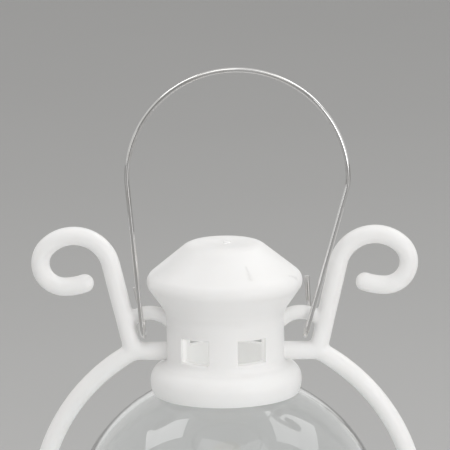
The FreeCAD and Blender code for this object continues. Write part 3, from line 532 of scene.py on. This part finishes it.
def newGroup(name, takes, gives):
    group = bpy.data.node_groups.new(name, "ShaderNodeTree")
    for label, kind in takes:
        group.interface.new_socket(name=label, in_out="INPUT", socket_type="NodeSocket" + kind)
    for label, kind in gives:
        group.interface.new_socket(name=label, in_out="OUTPUT", socket_type="NodeSocket" + kind)
    return group, put(group, "NodeGroupInput").outputs, put(group, "NodeGroupOutput")


effects = {
    "waveShare": 3.0,                       # how much the waves stand over the fine grain
    "patchRange": (0.3, 0.7),
    "strokeTaper": 0.6, "strokeBreaks": 1100.0, "strokeRange": (0.2, 0.6),
    "speckSize": 0.035, "specksLeftOut": 0.8,
    "dustSlope": (0.55, 0.98),              # from steep to level
    "dustRange": (0.35, 0.75),
    "stainScale": 90.0, "stainRange": (0.45, 0.75),
}


def makeMouldGrain():
    group, taken, given = newGroup(
        "mouldGrain",
        [("Vector", "Vector"), ("Grain", "Float"), ("Wave", "Float"), ("Patch", "Float")],
        [("Height", "Float"), ("Patches", "Float")])
    fine = noise(group, taken["Vector"], taken["Grain"], detail=3.0, rough=0.6)
    wavy = noise(group, taken["Vector"], taken["Wave"], detail=1.0, rough=0.4)
    patches = noise(group, taken["Vector"], taken["Patch"], detail=4.0, rough=0.55)
    height = calc(group, "MULTIPLY_ADD", wavy, effects["waveShare"], fine)
    group.links.new(height, given.inputs["Height"])
    group.links.new(ramp(group, patches, *effects["patchRange"]), given.inputs["Patches"])
    return group


def makeStrokeMark():               # a soft rubbed line from one point to another
    group, taken, given = newGroup(
        "strokeMark",
        [("Vector", "Vector"), ("Start", "Vector"), ("End", "Vector"), ("Width", "Float")],
        [("Mask", "Float")])
    toSpot = calcVector(group, "SUBTRACT", taken["Vector"], taken["Start"]).outputs[0]
    run = calcVector(group, "SUBTRACT", taken["End"], taken["Start"]).outputs[0]
    along = calcVector(group, "DOT_PRODUCT", toSpot, run).outputs["Value"]
    length = calcVector(group, "DOT_PRODUCT", run, run).outputs["Value"]
    share = calc(group, "DIVIDE", along, length, clamp=True)
    foot = put(group, "ShaderNodeVectorMath", {0: run, "Scale": share}, operation="SCALE").outputs[0]
    gap = calcVector(group, "DISTANCE", toSpot, foot).outputs["Value"]
    taper = calc(group, "MULTIPLY_ADD", share, -effects["strokeTaper"], 1.0)
    tapered = calc(group, "MULTIPLY", taken["Width"], taper)
    near = calc(group, "SUBTRACT", 1.0, calc(group, "DIVIDE", gap, tapered), clamp=True)
    breaks = noise(group, taken["Vector"], effects["strokeBreaks"], detail=1.0)
    broken = ramp(group, breaks, *effects["strokeRange"])
    group.links.new(calc(group, "MULTIPLY", near, broken), given.inputs["Mask"])
    return group


def makeFineSpecks():               # few tiny dark specks in the white
    group, taken, given = newGroup(
        "fineSpecks", [("Vector", "Vector"), ("Density", "Float")], [("Mask", "Float")])
    cells = put(group, "ShaderNodeTexVoronoi", {"Vector": taken["Vector"], "Scale": taken["Density"]})
    dot = calc(group, "LESS_THAN", cells.outputs["Distance"], effects["speckSize"])
    parts = put(group, "ShaderNodeSeparateColor", {"Color": cells.outputs["Color"]})
    chosen = calc(group, "GREATER_THAN", parts.outputs[0], effects["specksLeftOut"])
    group.links.new(calc(group, "MULTIPLY", dot, chosen), given.inputs["Mask"])
    return group


def makeDustFilm():                 # settles on what looks up
    group, taken, given = newGroup(
        "dustFilm", [("Vector", "Vector"), ("Normal", "Vector"), ("Grain", "Float")], [("Mask", "Float")])
    up = put(group, "ShaderNodeSeparateXYZ", {0: taken["Normal"]}).outputs["Z"]
    lying = ramp(group, up, *effects["dustSlope"])
    cloud = noise(group, taken["Vector"], taken["Grain"], detail=5.0, rough=0.65)
    cloud = ramp(group, cloud, *effects["dustRange"])
    group.links.new(calc(group, "MULTIPLY", lying, cloud), given.inputs["Mask"])
    return group


def makeInnerWall():                # all that is nearer to the lantern's middle than the radius
    group, taken, given = newGroup(
        "innerWall", [("Vector", "Vector"), ("Radius", "Float")], [("Mask", "Float")])
    flat = calcVector(group, "MULTIPLY", taken["Vector"], (1, 1, 0)).outputs[0]
    out = calcVector(group, "LENGTH", flat).outputs["Value"]
    group.links.new(calc(group, "LESS_THAN", out, taken["Radius"]), given.inputs["Mask"])
    return group


def makePartingLine():              # the mould's halves met in the arms' plane
    group, taken, given = newGroup(
        "partingLine", [("Vector", "Vector"), ("Width", "Float")], [("Mask", "Float")])
    across = put(group, "ShaderNodeSeparateXYZ", {0: taken["Vector"]}).outputs["Y"]
    share = calc(group, "DIVIDE", calc(group, "ABSOLUTE", across), taken["Width"])
    group.links.new(calc(group, "SUBTRACT", 1.0, share, clamp=True), given.inputs["Mask"])
    return group


def makeDrawnLines():               # long scratches from drawing or brushing, along the stretched axis
    group, taken, given = newGroup(
        "drawnLines", [("Vector", "Vector"), ("Stretch", "Vector"), ("Grain", "Float")],
        [("Height", "Float"), ("Stain", "Float")])
    stretched = calcVector(group, "MULTIPLY", taken["Vector"], taken["Stretch"]).outputs[0]
    lines = noise(group, stretched, taken["Grain"], detail=3.0, rough=0.7)
    stain = noise(group, taken["Vector"], effects["stainScale"], detail=4.0, rough=0.6)
    stain = ramp(group, stain, *effects["stainRange"])
    group.links.new(lines, given.inputs["Height"])
    group.links.new(stain, given.inputs["Stain"])
    return group


finishGroups = {
    "grain": makeMouldGrain(), "stroke": makeStrokeMark(), "specks": makeFineSpecks(),
    "dust": makeDustFilm(), "inside": makeInnerWall(), "parting": makePartingLine(),
    "lines": makeDrawnLines(),
}


def useGroup(tree, name, feeds):
    return put(tree, "ShaderNodeGroup", feeds, node_tree=finishGroups[name])


def newFinish(name):
    finish = bpy.data.materials.new(name)
    finish.use_nodes = True
    tree = finish.node_tree
    tree.nodes.clear()
    shader = put(tree, "ShaderNodeBsdfPrincipled")
    put(tree, "ShaderNodeOutputMaterial", {"Surface": shader.outputs[0]})
    place = put(tree, "ShaderNodeTexCoord").outputs
    return finish, tree, shader, place


def setSockets(shader, values):
    for socket, value in values.items():
        shader.inputs[socket].default_value = value


def addBump(tree, shader, height, strength, distance):
    feeds = {"Height": height, "Strength": strength, "Distance": distance * mm}
    tree.links.new(put(tree, "ShaderNodeBump", feeds).outputs[0], shader.inputs["Normal"])


# white mouldings

whites = {
    "roof_plastic": {"rough": (0.36, 0.48), "dust": 0.10, "strokes": (      # start, end, width and depth
        ((6.85, -14.75, 130.4), (5.65, -11.8, 133.0), 0.95, 0.28),
        ((17.6, -5.5, 128.65), (15.9, -7.1, 129.4), 1.0, 0.40),
    )},
    "chimney_plastic": {"rough": (0.36, 0.48), "dust": 0.06, "inside": 13.6},
    "arm_plastic": {"rough": (0.34, 0.46), "dust": 0.05, "parting": 0.12},
    "base_plastic": {"rough": (0.36, 0.5), "dust": 0.08},
    "burner_plastic": {"rough": (0.38, 0.5), "dust": 0.02},
    "cover_plastic": {"rough": (0.44, 0.56), "dust": 0.0},
    "cap_plastic": {"rough": (0.44, 0.56), "dust": 0.0},
}
white = {
    "light": (0.93, 0.928, 0.922, 1), "deep": (0.905, 0.90, 0.892, 1),
    "paintedPaleInside": (0.965, 0.962, 0.955, 1),      # painted light: the inner wall is made paler, standing for light that comes through the thin wall
    "dust": (0.70, 0.68, 0.64, 1), "speck": (0.45, 0.42, 0.38, 1), "rubbed": (0.55, 0.54, 0.53, 1),
    "grain": 2600.0, "wave": 70.0, "patch": 42.0, "specks": 260.0, "speckDepth": 0.5, "dustGrain": 120.0,
    "grainStrength": 0.12, "grainDepth": 0.02, "seamHeight": 2.0,
    "ior": 1.49, "scatter": 0.2, "scatterDepth": 0.5, "scatterTint": (1.0, 0.95, 0.9),
    "paintedGlow": (0.12, 0.118, 0.114, 1),        # painted glow: the inner wall gives off light, standing for light that comes through the thin wall to the inside
}


def makeWhite(name, look):
    finish, tree, shader, place = newFinish(name)
    spot = place["Object"]
    grain = useGroup(tree, "grain", {
        "Vector": spot, "Grain": white["grain"], "Wave": white["wave"], "Patch": white["patch"]}).outputs
    color = mixColor(tree, grain["Patches"], white["light"], white["deep"])
    speck = useGroup(tree, "specks", {"Vector": spot, "Density": white["specks"]}).outputs[0]
    color = mixColor(tree, calc(tree, "MULTIPLY", speck, white["speckDepth"]), color, white["speck"])
    if look["dust"]:
        dust = useGroup(tree, "dust", {
            "Vector": spot, "Normal": place["Normal"], "Grain": white["dustGrain"]}).outputs[0]
        color = mixColor(tree, calc(tree, "MULTIPLY", dust, look["dust"]), color, white["dust"])
    if "inside" in look:
        inner = useGroup(tree, "inside", {"Vector": spot, "Radius": look["inside"] * mm}).outputs[0]
        # painted light: inside the radius the wall colour is made paler, standing for light through the
        # thin wall
        color = mixColor(tree, inner, color, white["paintedPaleInside"])
        # painted glow: the inner wall gives off a faint light of its own, standing for light through the
        # thin wall
        paintedGlow = mixColor(tree, inner, (0, 0, 0, 1), white["paintedGlow"])
        tree.links.new(paintedGlow, shader.inputs["Emission Color"])
        setSockets(shader, {"Emission Strength": 1.0})
    for start, end, width, depth in look.get("strokes", ()):
        mark = useGroup(tree, "stroke", {
            "Vector": spot, "Start": Vector(start) * mm, "End": Vector(end) * mm, "Width": width * mm})
        color = mixColor(tree, calc(tree, "MULTIPLY", mark.outputs[0], depth), color, white["rubbed"])
    height = grain["Height"]
    if "parting" in look:
        seam = useGroup(tree, "parting", {"Vector": spot, "Width": look["parting"] * mm}).outputs[0]
        height = calc(tree, "MULTIPLY_ADD", seam, white["seamHeight"], height)
    tree.links.new(color, shader.inputs["Base Color"])
    tree.links.new(ramp(tree, grain["Patches"], 0.0, 1.0, *look["rough"]), shader.inputs["Roughness"])
    addBump(tree, shader, height, white["grainStrength"], white["grainDepth"])
    setSockets(shader, {
        "IOR": white["ior"], "Subsurface Weight": white["scatter"],
        "Subsurface Scale": white["scatterDepth"] * mm, "Subsurface Radius": white["scatterTint"]})
    return finish


finishes = {name: makeWhite(name, look) for name, look in whites.items()}
print("white mouldings finished")

# clear globe

clear = {
    "tint": (0.975, 0.985, 0.985, 1), "rough": 0.015, "ior": 1.49,
    "wave": 38.0, "waveStrength": 0.12, "waveDepth": 0.25,
}


def makeClear(name):
    finish, tree, shader, place = newFinish(name)
    setSockets(shader, {
        "Base Color": clear["tint"], "Roughness": clear["rough"], "IOR": clear["ior"],
        "Transmission Weight": 1.0})
    wavy = noise(tree, place["Object"], clear["wave"], detail=1.0)
    addBump(tree, shader, wavy, clear["waveStrength"], clear["waveDepth"])
    seeThrough = put(tree, "ShaderNodeBsdfTransparent", {"Color": clear["tint"]})
    rays = put(tree, "ShaderNodeLightPath").outputs
    passing = calc(tree, "MAXIMUM", rays["Is Shadow Ray"], rays["Is Diffuse Ray"])
    either = put(tree, "ShaderNodeMixShader", {0: passing, 1: shader.outputs[0], 2: seeThrough.outputs[0]})
    tree.links.new(either.outputs[0], tree.nodes["Material Output"].inputs["Surface"])
    return finish


finishes["clear_plastic"] = makeClear("clear_plastic")
print("globe finished")

# metals

metals = {
    "bail_wire": {"color": (0.74, 0.735, 0.73, 1), "stain": (0.62, 0.60, 0.57, 1), "rough": (0.07, 0.14),
                  "stretch": (1.0, 1.0, 0.1), "grain": 2500.0, "depth": 0.0012},
    "cell_metal": {"color": (0.68, 0.68, 0.67, 1), "stain": (0.58, 0.57, 0.55, 1), "rough": (0.22, 0.34),
                   "stretch": (0.05, 1.0, 1.0), "grain": 6000.0, "depth": 0.01},
    "contact_metal": {"color": (0.70, 0.67, 0.60, 1), "stain": (0.50, 0.46, 0.38, 1), "rough": (0.2, 0.36),
                      "stretch": (0.06, 1.0, 1.0), "grain": 6000.0, "depth": 0.01},
    "screw_metal": {"color": (0.66, 0.66, 0.65, 1), "stain": (0.48, 0.47, 0.45, 1), "rough": (0.24, 0.42),
                    "stretch": (1.0, 1.0, 0.3), "grain": 5000.0, "depth": 0.012},
}
metal = {"stainDepth": 0.6, "lineStrength": 0.25}


def makeMetal(name, look):
    finish, tree, shader, place = newFinish(name)
    lines = useGroup(tree, "lines", {
        "Vector": place["Object"], "Stretch": look["stretch"], "Grain": look["grain"]}).outputs
    stained = calc(tree, "MULTIPLY", lines["Stain"], metal["stainDepth"])
    color = mixColor(tree, stained, look["color"], look["stain"])
    tree.links.new(color, shader.inputs["Base Color"])
    tree.links.new(ramp(tree, lines["Stain"], 0.0, 1.0, *look["rough"]), shader.inputs["Roughness"])
    addBump(tree, shader, lines["Height"], metal["lineStrength"], look["depth"])
    setSockets(shader, {"Metallic": 1.0})
    return finish


finishes.update({name: makeMetal(name, look) for name, look in metals.items()})
print("metals finished")

# flame, light and the small parts inside

small = {
    "flame_plastic": {"color": (0.90, 0.76, 0.50, 1), "deep": (0.93, 0.83, 0.64, 1), "rough": (0.38, 0.52),
                      "grain": 1800.0, "scatter": 0.8, "scatterDepth": 3.0},
    "led_resin": {"color": (0.86, 0.80, 0.62, 1), "deep": (0.80, 0.72, 0.50, 1), "rough": (0.08, 0.16),
                  "grain": 900.0, "scatter": 0.5, "scatterDepth": 2.0},
    "board_laminate": {"color": (0.035, 0.16, 0.075, 1), "deep": (0.05, 0.22, 0.10, 1),
                       "rough": (0.3, 0.45), "grain": 1400.0},
    "resistor_body": {"color": (0.03, 0.03, 0.035, 1), "deep": (0.05, 0.05, 0.05, 1),
                      "rough": (0.35, 0.5), "grain": 4000.0},
    "switch_plastic": {"color": (0.035, 0.035, 0.04, 1), "deep": (0.055, 0.055, 0.06, 1),
                       "rough": (0.4, 0.55), "grain": 3000.0},
    "lever_plastic": {"color": (0.03, 0.03, 0.032, 1), "deep": (0.05, 0.05, 0.052, 1),
                      "rough": (0.36, 0.5), "grain": 3000.0},
}
smallAll = {
    "wave": 160.0, "patch": 130.0, "grainStrength": 0.15, "grainDepth": 0.02,
    "scatterTint": (1.0, 0.7, 0.4),
}


def makeSmall(name, look):
    finish, tree, shader, place = newFinish(name)
    grain = useGroup(tree, "grain", {
        "Vector": place["Object"], "Grain": look["grain"],
        "Wave": smallAll["wave"], "Patch": smallAll["patch"]}).outputs
    color = mixColor(tree, grain["Patches"], look["color"], look["deep"])
    tree.links.new(color, shader.inputs["Base Color"])
    tree.links.new(ramp(tree, grain["Patches"], 0.0, 1.0, *look["rough"]), shader.inputs["Roughness"])
    addBump(tree, shader, grain["Height"], smallAll["grainStrength"], smallAll["grainDepth"])
    if "scatter" in look:
        setSockets(shader, {
            "Subsurface Weight": look["scatter"], "Subsurface Scale": look["scatterDepth"] * mm,
            "Subsurface Radius": smallAll["scatterTint"]})
    return finish


finishes.update({name: makeSmall(name, look) for name, look in small.items()})
print("small parts finished")

# each piece wears the finish of its slot

madePieces = [roofShell, chimneyShell, leftArm, rightArm, flameShell]
pieceSlots = [(piece, piece["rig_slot"]) for piece in madePieces]
pieceSlots += [(node, node.material_slots[0].name) for node in nodes.values()]
for piece, slotName in pieceSlots:
    if piece.material_slots:
        piece.material_slots[0].material = finishes[slotName]
    else:
        piece.data.materials.append(finishes[slotName])
print("finishes given out")

# camera, as the lantern was photographed

shot = {
    "lookAt": (0.0, 0.0, 140.64),   # mm, the point in the middle of the picture
    "turn": 2.6,                    # degrees round towards +X
    "rise": 11.45,                  # degrees above level
    "roll": 0.91,                   # degrees, the lantern leans to the left
    "distance": 1000.0,             # mm
    "lens": 331.0, "sensor": 36.0,
    "shift": (0.0029, 0.0),
    "clip": (0.01, 20.0),           # m
}


def placeCamera():
    turn, rise = math.radians(shot["turn"]), math.radians(shot["rise"])
    target = Vector(shot["lookAt"]) * mm
    away = Vector((math.sin(turn) * math.cos(rise), -math.cos(turn) * math.cos(rise), math.sin(rise)))
    dropSelection()
    bpy.ops.object.camera_add(location=target + away * shot["distance"] * mm)
    camera = bpy.context.object
    camera.name = "photoCamera"
    facing = (-away).to_track_quat("-Z", "Y").to_matrix()
    camera.rotation_euler = (facing @ Matrix.Rotation(math.radians(-shot["roll"]), 3, "Z")).to_euler()
    camera.data.sensor_width = shot["sensor"]
    camera.data.lens = shot["lens"]
    camera.data.shift_x, camera.data.shift_y = shot["shift"]
    camera.data.clip_start, camera.data.clip_end = shot["clip"]
    bpy.context.scene.camera = camera


placeCamera()
print("camera placed")

# floor and light

studio = {
    "floorSize": 6.0, "floorDrop": 0.0001,  # m, just below the lantern's foot
    "floor": (0.54, 0.54, 0.535, 1), "floorDeep": (0.52, 0.52, 0.515, 1), "cloud": 5.0,
    "floorRough": 0.75, "floorShine": 0.2,
    "floorLight": (0.80, 0.80, 0.795, 1),   # the floor as it lights the lantern
    "light": (0.545, 0.54, 0.535, 1),       # the room as it lights the lantern
    "seen": (0.75, 0.75, 0.74, 1),          # the room as it is seen, behind and beside the lantern
    "seenNear": (0.26, 0.26, 0.255, 1),     # and on the near side
    "nearSide": (-0.42, -0.92),             # where it changes, along Y
    "aim": (0, 0, 0.1),                     # m, where the lamps look
}
lamps = {                           # m and W, and a spread in degrees that keeps low lamps off the floor
    "keyBox": {"at": (0.42, -0.54, 0.22), "size": (0.34, 0.30), "watts": 0.185, "spread": 80},
    "frontBox": {"at": (0.02, -0.88, 0.47), "size": (0.50, 0.36), "watts": 0.07, "spread": 80},
    "topLeft": {"at": (-0.12, -0.28, 0.75), "size": (0.28, 0.34), "watts": 0.41},
    "topRight": {"at": (0.24, -0.28, 0.75), "size": (0.34, 0.34), "watts": 0.38},
    "backRight": {"at": (0.50, 0.26, 0.75), "size": (0.42, 0.42), "watts": 1.35},
    "backLeft": {"at": (-0.46, 0.16, 0.75), "size": (0.24, 0.34), "watts": 0.8},
    "wireRight": {"at": (0.20, -0.26, 0.12), "size": (0.09, 0.14), "watts": 0.006, "spread": 60},
    "wireLeft": {"at": (-0.24, -0.30, 0.13), "size": (0.05, 0.14), "watts": 0.004, "spread": 60},
}


def seenRays(tree):                 # what the eye, a mirror or glass looks at, not what gives light
    rays = put(tree, "ShaderNodeLightPath").outputs
    seen = calc(tree, "MAXIMUM", rays["Is Camera Ray"], rays["Is Glossy Ray"])
    return calc(tree, "MAXIMUM", seen, rays["Is Transmission Ray"])


def layFloor():
    dropSelection()
    bpy.ops.mesh.primitive_plane_add(size=studio["floorSize"], location=(0, 0, -studio["floorDrop"]))
    floor = bpy.context.object
    floor.name = "floor"
    finish, tree, shader, place = newFinish("pale_floor")
    cloud = noise(tree, place["Object"], studio["cloud"], detail=4.0)
    floorSeen = mixColor(tree, cloud, studio["floor"], studio["floorDeep"])
    floorColor = mixColor(tree, seenRays(tree), studio["floorLight"], floorSeen)
    tree.links.new(floorColor, shader.inputs["Base Color"])
    setSockets(shader, {"Roughness": studio["floorRough"], "Specular IOR Level": studio["floorShine"]})
    floor.data.materials.append(finish)


def hangLamp(name, box):
    bpy.ops.object.light_add(type="AREA", location=box["at"])
    lamp = bpy.context.object
    lamp.name = name
    lamp.data.shape = "RECTANGLE"
    lamp.data.size, lamp.data.size_y = box["size"]
    lamp.data.energy = box["watts"]
    lamp.data.spread = math.radians(box.get("spread", 180))
    toward = Vector(studio["aim"]) - lamp.location
    lamp.rotation_euler = toward.to_track_quat("-Z", "Y").to_euler()
    lamp.visible_camera = lamp.visible_transmission = False


def lightRoom():
    world = bpy.data.worlds.new("studio")
    bpy.context.scene.world = world
    world.use_nodes = True
    tree = world.node_tree
    toward = put(tree, "ShaderNodeTexCoord").outputs["Generated"]
    near = ramp(tree, put(tree, "ShaderNodeSeparateXYZ", {0: toward}).outputs["Y"], *studio["nearSide"])
    room = mixColor(tree, near, studio["seen"], studio["seenNear"])
    room = mixColor(tree, seenRays(tree), studio["light"], room)
    tree.links.new(room, tree.nodes["Background"].inputs["Color"])


layFloor()
for name, box in lamps.items():
    hangLamp(name, box)
lightRoom()
print("floor and light placed")

bpy.context.scene.view_settings.view_transform = "Standard"
